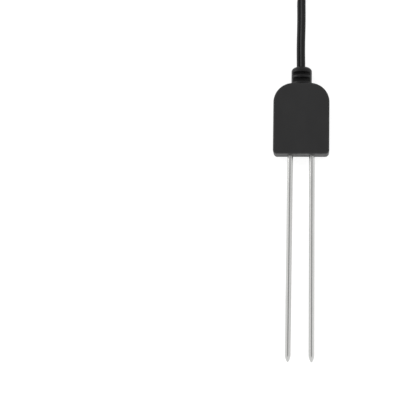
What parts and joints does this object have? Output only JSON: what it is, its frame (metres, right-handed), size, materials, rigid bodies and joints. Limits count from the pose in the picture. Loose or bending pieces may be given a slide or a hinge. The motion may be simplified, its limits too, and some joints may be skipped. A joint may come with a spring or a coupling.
{
  "type": "soil moisture meter probe",
  "caption": "Soil moisture probe: two pointed steel rods under an arched flat head, with a flat two-core lead tied in a hank and a jack plug.",
  "frame": {"origin": "on the surface that the probe lies on, under the middle of the rigid probe (rods, head and strain relief)", "axes": "+Y from the rod tips to the lead, +X to the right of the front face, +Z out of the front face, away from the surface"},
  "size_m": [0.0469, 0.3221, 0.0147],
  "materials": {
    "head_plastic": "fine satin texture",
    "flexible_pvc": "smooth satin",
    "stainless_steel": "drawn and lightly polished",
    "screw_steel": "zinc plated",
    "tinned_brass": "tinned",
    "silicone": "matte",
    "nylon": "moulded",
    "board": "solder mask",
    "component": "moulded",
    "plug_plastic": "satin moulded",
    "plug_metal": "nickel plated",
    "tie": "coated wire"
  },
  "bodies": {
    "root": {"head_shell": "head_plastic", "back_cover": "head_plastic", "cover_gasket": "silicone", "cover_screw_1": "screw_steel", "cover_screw_2": "screw_steel", "cover_screw_3": "screw_steel", "electrode_carrier": "nylon", "left_electrode": "stainless_steel", "right_electrode": "stainless_steel", "left_rod_seal": "silicone", "right_rod_seal": "silicone", "left_washer": "screw_steel", "right_washer": "screw_steel", "left_terminal": "tinned_brass", "right_terminal": "tinned_brass", "left_nut": "tinned_brass", "right_nut": "tinned_brass", "left_terminal_wire": "flexible_pvc", "right_terminal_wire": "flexible_pvc", "circuit_board": "board", "sensor_chip": "component", "resistor_1": "component", "resistor_2": "component", "capacitor": "component", "left_lead_core": "flexible_pvc", "right_lead_core": "flexible_pvc", "strain_relief": "flexible_pvc", "lead_cable": "flexible_pvc", "lead_hank": "flexible_pvc", "hank_tie": "tie", "lead_tail": "flexible_pvc", "plug_strain_relief": "flexible_pvc", "plug_body": "plug_plastic", "plug_sleeve": "plug_metal", "plug_insulator": "plug_plastic", "plug_tip": "plug_metal"}
  },
  "joints": []
}
